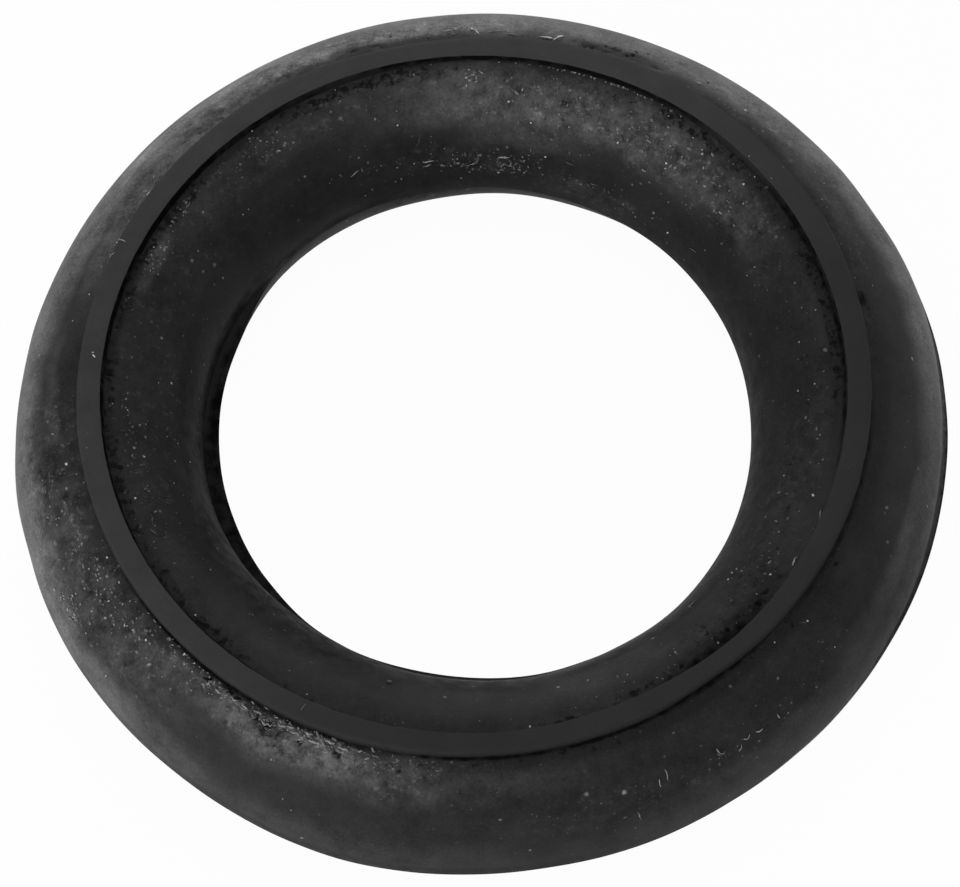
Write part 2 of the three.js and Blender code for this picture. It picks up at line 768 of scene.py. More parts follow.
    def out_of(self, angle: float, section: float, face: Face) -> Vector:
        """Finds the way out of the section at a place on it.

        Args:
            angle: Degrees round the ring.
            section: Degrees on the section.
            face: The mould half.

        Returns:
            A unit vector.
        """
        turn, lean = math.radians(angle), math.radians(section)
        level = math.cos(lean)
        return Vector((level * math.cos(turn), level * math.sin(turn), face.value * math.sin(lean)))


@dataclass(frozen=True)
class Cloud:
    """A cloudy noise.

    Attributes:
        size: The width of its largest spots, in millimetres.
        detail: How many finer layers it has.
        roughness: How strong the finer layers are.
    """

    size: float
    detail: float = 3.0
    roughness: float = 0.7


@dataclass(frozen=True)
class Tear:
    """A torn-edged mask that spreads as a number rises.

    Attributes:
        size: The width of its largest spots, in millimetres.
        gain: How fast it spreads.
        lag: How high the number has to be, times the gain, before it does.
    """

    size: float
    gain: float
    lag: float


@dataclass(frozen=True)
class Speckle:
    """One layer of fine pale specks.

    Attributes:
        pitch: The mean distance between places where a speck could be, in millimetres.
        radius: A speck's radius, in millimetres.
        share: The share of those places that have one in the thickest dust.
        level: The brightness of the brightest, from 0 to 1.
    """

    pitch: float
    radius: float
    share: float
    level: float


Number = Union[float, "Wire"]


class Wire:
    """A shader socket that carries a number and takes part in Python sums.

    Attributes:
        graph: The graph that it belongs to.
        socket: Blender's output socket.
    """

    def __init__(self, graph: "Graph", socket: bpy.types.NodeSocket) -> None:
        """Wraps a socket of a graph."""
        self.graph = graph
        self.socket = socket

    def maths(self, operation: str, *numbers: Number) -> "Wire":
        """Adds a Math node.

        Args:
            operation: Blender's name of what it does.
            numbers: What it works on, in order.

        Returns:
            Its result.
        """
        settings = {"operation": operation}
        node = self.graph.add("ShaderNodeMath", settings, dict(enumerate(numbers)))
        return Wire(self.graph, node.outputs[0])

    def __add__(self, other: Number) -> "Wire":
        """The sum."""
        return self.maths("ADD", self, other)

    def __sub__(self, other: Number) -> "Wire":
        """The difference."""
        return self.maths("SUBTRACT", self, other)

    def __rsub__(self, other: Number) -> "Wire":
        """The difference the other way."""
        return self.maths("SUBTRACT", other, self)

    def __mul__(self, other: Number) -> "Wire":
        """The product."""
        return self.maths("MULTIPLY", self, other)

    __radd__ = __add__
    __rmul__ = __mul__

    def step(self, low: Number, high: Number) -> "Wire":
        """Adds a soft ramp.

        Args:
            low: The number up to which it gives 0.
            high: The number from which it gives 1.

        Returns:
            The ramp's result.
        """
        settings = {"interpolation_type": "SMOOTHSTEP", "clamp": True}
        node = self.graph.add("ShaderNodeMapRange", settings, {0: self, 1: low, 2: high})
        return Wire(self.graph, node.outputs[0])

    def highest(self, other: Number) -> "Wire":
        """The larger of two numbers."""
        return self.maths("MAXIMUM", self, other)

    def above(self, other: Number) -> "Wire":
        """1 where it is more than the other number, and 0 elsewhere."""
        return self.maths("GREATER_THAN", self, other)


class Graph:
    """The node tree of one material or of the world.

    Attributes:
        tree: Blender's tree.
        torn_contrast: How steep the noise under a torn edge is.
        torn_edge: The level at which a torn mask begins, and at which it is full.
        speck_edge_size: The width of the notches in a speck's edge, as a multiple of its radius.
        speck_edge_depth: How much those notches change its radius.
        speck_edge_least: The least that its distance is multiplied by.
        speck_dullest: The brightness of the dullest speck, as a share of the brightest.
    """

    torn_contrast: float = 3.4
    torn_edge: tuple[float, float] = (0.95, 1.4)
    speck_edge_size: float = 1.6
    speck_edge_depth: float = 1.4
    speck_edge_least: float = 0.3
    speck_dullest: float = 0.25

    def __init__(self, owner: Union[bpy.types.Material, bpy.types.World]) -> None:
        """Empties the owner's node tree and takes it over."""
        owner.use_nodes = True
        self.tree = owner.node_tree
        self.tree.nodes.clear()

    def add(
        self,
        kind: str,
        settings: Optional[dict[str, object]] = None,
        inputs: Optional[dict[Union[int, str], object]] = None,
    ) -> bpy.types.Node:
        """Adds one node.

        Args:
            kind: Blender's name of the node's type.
            settings: Values of the node's own properties.
            inputs: Values, wires or sockets for its input sockets, by name or number.

        Returns:
            The node.
        """
        node = self.tree.nodes.new(kind)
        for name, value in (settings or {}).items():
            setattr(node, name, value)
        for key, value in (inputs or {}).items():
            source = value.socket if isinstance(value, Wire) else value
            if isinstance(source, bpy.types.NodeSocket):
                self.tree.links.new(source, node.inputs[key])
            else:
                node.inputs[key].default_value = source
        return node

    def attribute(self, name: str) -> Wire:
        """A number that the mesh carries at its vertices."""
        node = self.add("ShaderNodeAttribute", {"attribute_name": name})
        return Wire(self, node.outputs["Fac"])

    def place(self) -> bpy.types.NodeSocket:
        """The place on the object, in metres."""
        return self.add("ShaderNodeTexCoord").outputs["Object"]

    def noise(self, cloud: Cloud) -> Wire:
        """Adds a cloudy noise.

        Args:
            cloud: Its size and fineness.

        Returns:
            A number about one half.
        """
        inputs = {
            "Vector": self.place(),
            "Scale": 1 / (cloud.size * MM),
            "Detail": cloud.detail,
            "Roughness": cloud.roughness,
        }
        return Wire(self, self.add("ShaderNodeTexNoise", None, inputs).outputs["Fac"])

    def ragged(self, tear: Tear, amount: Wire) -> Wire:
        """Adds a torn-edged mask.

        Args:
            tear: Its size, and how it follows the amount.
            amount: 0 for a few lone spots at most, and 1 for nearly all.

        Returns:
            1 inside and 0 outside.
        """
        spots = (self.noise(Cloud(tear.size)) - 0.5) * self.torn_contrast + 0.5
        return (spots + (amount * tear.gain - tear.lag)).step(*self.torn_edge)

    def specks(self, layer: Speckle, dust: Wire) -> Wire:
        """Adds small round specks of uneven brightness.

        Args:
            layer: Their size, spacing and brightness.
            dust: How thick the dust lies, from 0 to 1.

        Returns:
            A speck's brightness inside it, and 0 outside.
        """
        inputs = {"Vector": self.place(), "Scale": 1 / (layer.pitch * MM)}
        node = self.add("ShaderNodeTexVoronoi", {"feature": "F1"}, inputs)
        edge = self.noise(Cloud(layer.radius * self.speck_edge_size, 1.0, SOFT_NOISE))
        edge = edge * self.speck_edge_depth + self.speck_edge_least
        distance = Wire(self, node.outputs["Distance"]) * edge
        near = 1 - distance.step(0.0, layer.radius / layer.pitch)
        split = self.add("ShaderNodeSeparateColor", None, {"Color": node.outputs["Color"]})
        chosen = Wire(self, split.outputs[0]).above(1 - dust * layer.share)
        light = Wire(self, split.outputs[1])
        light = light * light * (1 - self.speck_dullest) + self.speck_dullest
        return near * chosen * light * layer.level

    def blend(self, factor: Number, low: object, high: object) -> bpy.types.NodeSocket:
        """Mixes two colours.

        Args:
            factor: The share of the second one.
            low: The first colour, or its socket.
            high: The second colour, or its socket.

        Returns:
            The mix's socket.
        """
        inputs = {0: factor, 6: low, 7: high}
        return self.add("ShaderNodeMix", {"data_type": "RGBA"}, inputs).outputs[2]

    def finish(self, kind: str, shader: bpy.types.NodeSocket) -> None:
        """Ends the tree with its output node."""
        self.add(kind, None, {"Surface": shader})


def mostly_skin(skin: Wire, share: float) -> Wire:
    """1 on the skin and a smaller share on the land."""
    return skin * (1 - share) + share


@dataclass
class RubberPattern:
    """What all parts of the rubber's finish share.

    Attributes:
        graph: The material's graph.
        land: 1 on the land and 0 on the skin.
        skin: 1 on the skin and 0 on the land.
        torn: 1 where the skin is torn.
        clouds: The widest clouds, about 0.
        mottle: The mottling, about 0.
        grain: The finest grain, about 0.
        dust: How much dust there is.
        grime_and_shade: How much ragged residue and painted shade there is.
        bloom_and_highlight: How much pale bloom and painted highlight there is.
        painted_shade: How much painted shade there is.
    """

    graph: Graph
    land: Wire
    skin: Wire
    torn: Wire
    clouds: Wire
    mottle: Wire
    grain: Wire
    dust: Wire
    grime_and_shade: Wire
    bloom_and_highlight: Wire
    painted_shade: Wire


@dataclass(frozen=True)
class RubberFinish:
    """Moulded black rubber with a faint bloom and painted highlight, pale dust, and dark residue
    and painted shade at the land's foot.

    A level is a linear grey, where 1 is white. A weight says how much one thing changes another.

    Attributes:
        skin: The level of the moulded skin.
        land: The level of the trimmed land.
        bloom_and_highlight_gain: How many times its own level the thickest bloom and painted
        highlight add.
        powder: The level that fine powder adds.
        scuff: The level of torn skin.
        speck: The level of the brightest speck.
        residue_and_shade: The level of the residue and of the painted shade.
        roughness: The mean roughness.
        roughness_mottle: The mottling's weight in the roughness.
        specular: The specular level.
        clouds: The widest clouds in the tone.
        mottle: The mottling.
        grain: The finest grain.
        powder_blots: The blots of fine powder.
        powder_edge: The noise at which a blot begins, and at which it is full.
        tear: How torn skin spreads with the scuffing.
        blots: How ragged residue and painted shade spread with their mark.
        speckles: The layers of specks.
        cloud_weight: The clouds' weight in the tone.
        mottle_weight: The mottling's weight in the tone, with what dust and the grime and painted
        shade add to it.
        grain_weight: The grain's weight in the tone, with what bloom and painted highlight add to
            it.
        land_shade: The share of all those on the land.
        land_dust: The share of the specks on the land.
        thin_dust: The dust that lies everywhere.
        dust_share: What the thickest dust adds to it.
        torn_shade: The level of torn skin where nothing changes it, as a share, and the
            grain's weight in it.
        grime_and_shade_depth: How well ragged residue and painted shade cover.
        painted_shade_depth: How well the painted shade covers, and the mottling's weight in that.
        relief: The weights of the grain, the mottling and the torn skin in the bump.
        bump: The bump's strength.
        bump_height: The bump's height, in millimetres.
    """

    skin: float = 0.013
    land: float = 0.0175
    bloom_and_highlight_gain: float = 6.0
    powder: float = 0.03
    scuff: float = 0.17
    speck: float = 0.4
    residue_and_shade: float = 0.0045
    roughness: float = 0.6
    roughness_mottle: float = 0.3
    specular: float = 0.08
    clouds: Cloud = Cloud(3.2, 2.0, 0.6)
    mottle: Cloud = Cloud(0.9, 3.0, 0.6)
    grain: Cloud = Cloud(0.2)
    powder_blots: Cloud = Cloud(0.6)
    powder_edge: tuple[float, float] = (0.54, 0.74)
    tear: Tear = Tear(0.42, 0.8, 0.3)
    blots: Tear = Tear(0.55, 1.3, 0.38)
    speckles: tuple[Speckle, ...] = (
        Speckle(1.2, 0.22, 0.3, 0.7),
        Speckle(0.6, 0.15, 0.6, 0.55),
        Speckle(0.27, 0.09, 0.6, 0.35),
    )
    cloud_weight: float = 1.6
    mottle_weight: tuple[float, float, float] = (1.1, 2.2, 1.6)
    grain_weight: tuple[float, float] = (1.4, 0.7)
    land_shade: float = 0.3
    land_dust: float = 0.25
    thin_dust: float = 0.1
    dust_share: float = 0.85
    torn_shade: tuple[float, float] = (0.7, 2.0)
    grime_and_shade_depth: float = 0.8
    painted_shade_depth: tuple[float, float] = (0.85, 2.2)
    relief: tuple[float, float, float] = (0.7, 0.9, 0.9)
    bump: float = 0.5
    bump_height: float = 0.03

    def make(self) -> bpy.types.Material:
        """Builds the material.

        Returns:
            The material, which reads the ring's vertex attributes and its Object coordinates.
        """
        material = bpy.data.materials.new("black_rubber")
        graph = Graph(material)
        on = self.pattern(graph)
        level = self.tone(on).highest(self.specks(on))
        normal = self.normal(on)
        rubber = graph.add(
            "ShaderNodeBsdfPrincipled",
            None,
            {
                "Base Color": graph.blend(level, grey(0.0), grey(1.0)),
                "Roughness": on.mottle * self.roughness_mottle + self.roughness,
                "Specular IOR Level": self.specular,
                "Normal": normal,
            },
        )
        # A matt near-black diffuse that stands for both the residue and the painted shade.
        inputs = {"Color": grey(self.residue_and_shade), "Normal": normal}
        residue_and_shade = graph.add("ShaderNodeBsdfDiffuse", None, inputs)
        inputs = {0: self.darkness(on), 1: rubber.outputs[0], 2: residue_and_shade.outputs[0]}
        mix = graph.add("ShaderNodeMixShader", None, inputs)
        graph.finish("ShaderNodeOutputMaterial", mix.outputs[0])
        return material

    def pattern(self, graph: Graph) -> RubberPattern:
        """Reads the mesh's attributes and adds the noises that several parts use.

        Args:
            graph: The material's graph.

        Returns:
            The pattern.
        """
        land = graph.attribute("land")
        skin = 1 - land
        torn = graph.ragged(self.tear, graph.attribute("scuff")) * skin
        noises = [graph.noise(cloud) - 0.5 for cloud in (self.clouds, self.mottle, self.grain)]
        marks = {name: graph.attribute(name) for name in ("dust", "grime_and_shade", "bloom_and_highlight", "painted_shade")}
        return RubberPattern(graph, land, skin, torn, *noises, **marks)

    def tone(self, on: RubberPattern) -> Wire:
        """Works out the rubber's own level, with its bloom and painted highlight, fine powder and
        torn skin.

        Args:
            on: The pattern.

        Returns:
            The level.
        """
        even, dusty, grime_and_shade_mottle = self.mottle_weight
        plain_grain, bloom_and_highlight_grain = self.grain_weight
        spread = on.mottle * (on.dust * dusty + on.grime_and_shade * grime_and_shade_mottle + even)
        spread = spread + on.clouds * self.cloud_weight
        spread = spread + on.grain * (on.bloom_and_highlight * bloom_and_highlight_grain + plain_grain)
        shade = 1 + spread * mostly_skin(on.skin, self.land_shade)
        plain = on.skin * self.skin + on.land * self.land
        # Bloom and painted highlight brighten the tone.
        tone = plain * shade * (on.bloom_and_highlight * self.bloom_and_highlight_gain + 1)
        powder = on.graph.noise(self.powder_blots).step(*self.powder_edge)
        powder = powder * (on.dust * (1 - self.thin_dust) + self.thin_dust) * on.skin
        tone = tone * (1 + powder) + powder * self.powder
        torn_level, torn_grain = self.torn_shade
        return tone.highest(on.torn * self.scuff * (on.grain * torn_grain + on.mottle + torn_level))

    def specks(self, on: RubberPattern) -> Wire:
        """Works out the level of the fine pale specks.

        Args:
            on: The pattern.

        Returns:
            The level in a speck, and 0 beside it.
        """
        dust = on.dust * self.dust_share + self.thin_dust
        layers = [on.graph.specks(layer, dust) for layer in self.speckles]
        return reduce(Wire.highest, layers) * mostly_skin(on.skin, self.land_dust) * self.speck

    def darkness(self, on: RubberPattern) -> Wire:
        """Works out how much residue and painted shade cover the rubber.

        Args:
            on: The pattern.

        Returns:
            A share from 0 to 1.
        """
        # Ragged residue with painted shade at the land's feet, then the even painted shade.
        grime_and_shade = on.graph.ragged(self.blots, on.grime_and_shade) * on.skin * self.grime_and_shade_depth
        depth, mottling = self.painted_shade_depth
        return grime_and_shade.highest(on.painted_shade * (depth + on.mottle * mottling + on.clouds))

    def normal(self, on: RubberPattern) -> bpy.types.NodeSocket:
        """Adds the bump of the grain, the mottling and the torn skin.

        Args:
            on: The pattern.

        Returns:
            The socket of the bumped normal.
        """
        grain, mottle, torn = self.relief
        inputs = {
            "Strength": self.bump,
            "Distance": self.bump_height * MM,
            "Height": on.grain * grain + on.mottle * mottle + on.torn * torn,
        }
        return on.graph.add("ShaderNodeBump", None, inputs).outputs["Normal"]


@dataclass(frozen=True)
class LintFinish:
    """Dry pale dust, fibres and crumbs of torn rubber.

    Attributes:
        dull: The level of the darkest.
        bright: The level of the brightest.
        roughness: Their roughness.
        specular: Their specular level.
        mottle: The noise that makes each one uneven.
        shade: How much of its brightness one keeps at least, and what the noise adds.
    """

    dull: float = 0.03
    bright: float = 0.62
    roughness: float = 0.85
    specular: float = 0.15
    mottle: Cloud = Cloud(0.15, 2.0, SOFT_NOISE)
    shade: tuple[float, float] = (0.6, 0.8)

    def make(self) -> bpy.types.Material:
        """Builds the material.

        Returns:
            The material, which reads the lint's own brightness from its vertices.
        """
        material = bpy.data.materials.new("pale_lint")
        graph = Graph(material)
        least, added = self.shade
        pale = graph.attribute("pale") * (graph.noise(self.mottle) * added + least)
        shader = graph.add(
            "ShaderNodeBsdfPrincipled",
            None,
            {
                "Base Color": graph.blend(pale, grey(self.dull), grey(self.bright)),
                "Roughness": self.roughness,
                "Specular IOR Level": self.specular,
            },
        )
        graph.finish("ShaderNodeOutputMaterial", shader.outputs[0])
        return material


@dataclass
class HangerRing:
    """The dressed ring.

    Attributes:
        form: The ring's form.
        surface_marks: What lies on the skin, where it is torn, and where shade and highlight are
        painted.
        finish: The rubber's finish.
        lump_size: The width of the skin's slow unevenness, in millimetres.
        lump_height: The height of that, in millimetres.
        pit_size: The width of a torn pit, in millimetres.
        pit_depth: The depth of a full pit, in millimetres.
        pit_octaves: How many layers the pits' noise has.
        pit_start: The noise at which a pit begins.
        pit_ramp: The rise of the noise over which it reaches its depth.
        pit_grime_and_shade: The residue and painted shade in a full pit.
        patch_wander: How far the edges of the loose marks and painted highlight wander over the
        section, in degrees.
        patch_size: The width of that wandering, in millimetres.
        sharp_angle: The angle between faces above which an edge stays sharp, in degrees.
        columns: The columns worked out so far.
        skin: The built ring, for what is set down on it.
    """

    form: RingForm
    surface_marks: SurfaceMap
    finish: RubberFinish
    lump_size: float = 4.5
    lump_height: float = 0.04
    pit_size: float = 0.62
    pit_depth: float = 0.24
    pit_octaves: int = 3
    pit_start: float = 0.35
    pit_ramp: float = 0.4
    pit_grime_and_shade: float = 1.1
    patch_wander: float = 5.0
    patch_size: float = 2.4
    sharp_angle: float = 38.0
    columns: dict[tuple[int, Face], Column] = field(default_factory=dict)
    skin: Optional[BVHTree] = None

    def build(self) -> bpy.types.Object:
        """Makes the ring's object.

        Returns:
            The object, with its material.
        """
        bm = bmesh.new()
        rows = self.outline(bm)
        self.turn(bm)
        self.shape(bm, rows)
        self.skin = BVHTree.FromBMesh(bm)
        piece = make_object("ring", bm, self.finish.make())
        piece.data.set_sharp_from_angle(angle=math.radians(self.sharp_angle))
        return piece

    def outline(self, bm: bmesh.types.BMesh) -> list[tuple[Face, int]]:
        """Draws the section at angle 0 as a closed line.

        Args:
            bm: An empty mesh, which gets the line and each point's number in it.

        Returns:
            The mould half and the row within it of each point.
        """
        number = bm.verts.layers.int.new("row")
        rows = [(Face.UPPER, row) for row in range(self.form.half_size(Face.UPPER))]
        rows += [(Face.LOWER, row) for row in reversed(range(self.form.half_size(Face.LOWER)))]
        corners = []
        for index, (face, row) in enumerate(rows):
            across, height, _ = self.column(0, face).rows[row]
            corner = bm.verts.new((self.form.crown_radius + across, 0, face.value * height))
            corner[number] = index
            corners.append(corner)
        for corner, following in zip(corners, corners[1:] + corners[:1]):
            bm.edges.new((corner, following))
        return rows

    def turn(self, bm: bmesh.types.BMesh) -> None:
        """Spins the section into a closed ring of coarse steps, and divides those into fine ones.

        Args:
            bm: The mesh with the section.
        """
        bmesh.ops.spin(
            bm,
            geom=bm.verts[:] + bm.edges[:],
            cent=(0, 0, 0),
            axis=(0, 0, 1),
            dvec=(0, 0, 0),
            angle=FULL_TURN,
            steps=self.form.coarse_steps,
            use_merge=True,
            use_duplicate=False,
        )
        number = bm.verts.layers.int["row"]
        around = [edge for edge in bm.edges if edge.verts[0][number] == edge.verts[1][number]]
        cuts = self.form.steps_around // self.form.coarse_steps - 1
        bmesh.ops.subdivide_edges(bm, edges=around, cuts=cuts, use_grid_fill=True)
        bmesh.ops.recalc_face_normals(bm, faces=bm.faces[:])

    def column(self, step: int, face: Face) -> Column:
        """Gives one column of the ring, which is worked out only once.

        Args:
            step: Its number round the ring.
            face: The mould half.

        Returns:
            The column.
        """
        if (step, face) not in self.columns:
            angle = 360.0 * step / self.form.steps_around
            self.columns[step, face] = self.form.column(angle, face, self.surface_marks)
        return self.columns[step, face]

    def shape(self, bm: bmesh.types.BMesh, rows: list[tuple[Face, int]]) -> None:
        """Moves each vertex to its place on the real ring and notes what lies there.

        Args:
            bm: The even ring.
            rows: The mould half and the row within it, for each number in the row layer.
        """
        number = bm.verts.layers.int["row"]
        marks = {name: bm.verts.layers.float.new(name) for name in ("land", *LOOSE, *SETTLED)}
        count = self.form.steps_around
        for vertex in bm.verts:
            face, row = rows[vertex[number]]
            step = round(math.atan2(vertex.co.y, vertex.co.x) / FULL_TURN * count) % count
            place, levels = self.settle(self.column(step, face), row)
            vertex.co = place * MM
            for name, level in levels.items():
                vertex[marks[name]] = level

    def settle(self, column: Column, row: int) -> tuple[Vector, dict[str, float]]:
        """Works out one point of the ring and what lies on it.

        Args:
            column: The point's column.
            row: Its row.

        Returns:
            The point in millimetres, and the strength of each mark there.
        """
        form, angle, face = self.form, column.angle, column.face
        across, height, section = column.rows[row]
        place = form.place(angle, across + form.swell(column, section, row), height, face)
        skin = form.is_skin(row, face)
        near = section + self.wander(place) if skin else section
        levels = {name: strongest(column.surface_marks[name], section) for name in SETTLED}
        levels.update({name: strongest(column.surface_marks[name], near) for name in LOOSE})
        levels["land"] = 0.0 if skin else 1.0
        if skin:
            pit = self.pit(column, place, section)
            # The rim film adds a painted rim highlight to the bloom.
            levels["bloom_and_highlight"] = max(levels["bloom_and_highlight"], self.surface_marks.film_and_highlight.at(angle, near))
            # Pits get residue and painted shade in their hollows, deeper where they are deeper.
            levels["grime_and_shade"] = max(levels["grime_and_shade"], self.pit_grime_and_shade * pit)
            place += form.out_of(angle, section, face) * (self.lump(place) - self.pit_depth * pit)
        return place, levels

    def wander(self, place: Vector) -> float:
        """How far the edges of loose wear wander at a place, in degrees of the section."""
        return self.patch_wander * noise.noise(place / self.patch_size)

    def lump(self, place: Vector) -> float:
        """The slow unevenness of the moulded skin."""
        return self.lump_height * noise.noise(place / self.lump_size)

    def pit(self, column: Column, place: Vector, section: float) -> float:
        """Finds how deep the skin is torn.

        Args:
            column: The point's column.
            place: The point, in millimetres.
            section: Degrees on the section.

        Returns:
            0 for whole skin, and 1 for a full pit.
        """
        torn = strongest(column.surface_marks["torn"], section)
        if torn <= 0:
            return 0.0
        rough = noise.turbulence(
            place / self.pit_size, self.pit_octaves, False, noise_basis="BLENDER"
        )
        return torn * smooth((rough - self.pit_start) / self.pit_ramp)


@dataclass(frozen=True)
class Crumb:
    """One grain of dust or rubber on the skin.

    Attributes:
        angle: Degrees round the ring.
        section: Degrees on the section.
        size: Its width, in millimetres.
        pale: Its brightness, from 0 to 1.
        stretch: Its length as a multiple of its width.
        heading: The way that it points, in degrees from the way round the ring.
    """

    angle: float
    section: float
    size: float = 0.13
    pale: float = 0.4
    stretch: float = 1.0
    heading: float = 0.0


@dataclass(frozen=True)
class Scatter:
    """A loose cluster of crumbs.

    Attributes:
        angle: Its middle, in degrees round the ring.
        section: Its middle on the section, in degrees.
        spread: How far it reaches to each side round the ring, in degrees.
        reach: How far it reaches to each side on the section, in degrees.
        count: The number of crumbs.
        size: The width of its smallest crumbs, in millimetres.
        pale: Their mean brightness, from 0 to 1.
        stretch: How many widths more than one the longest crumb measures.
        fan: How far they turn to each side of the way round the ring, in degrees.
    """

    angle: float
    section: float
    spread: float
    reach: float
    count: int
    size: float = 0.09
    pale: float = 0.3
    stretch: float = 1.8
    fan: float = 90.0


@dataclass(frozen=True)
class Strand:
    """A fibre, or a torn flap of skin where it is wide.

    Attributes:
        angle: Where it starts, in degrees round the ring.
        section: Where it starts, in degrees on the section.
        length: Its length, in millimetres.
        heading: The way that it sets out, in degrees from the way round the ring.
        curl: How far it turns over its length, in degrees.
        width: Its width, in millimetres.
        lift: How high its middle stands off the skin, in millimetres.
        pale: Its brightness, from 0 to 1.
    """

    angle: float
    section: float
    length: float
    heading: float
    curl: float = 0.0
    width: float = 0.07
    lift: float = 0.05
    pale: float = 0.4


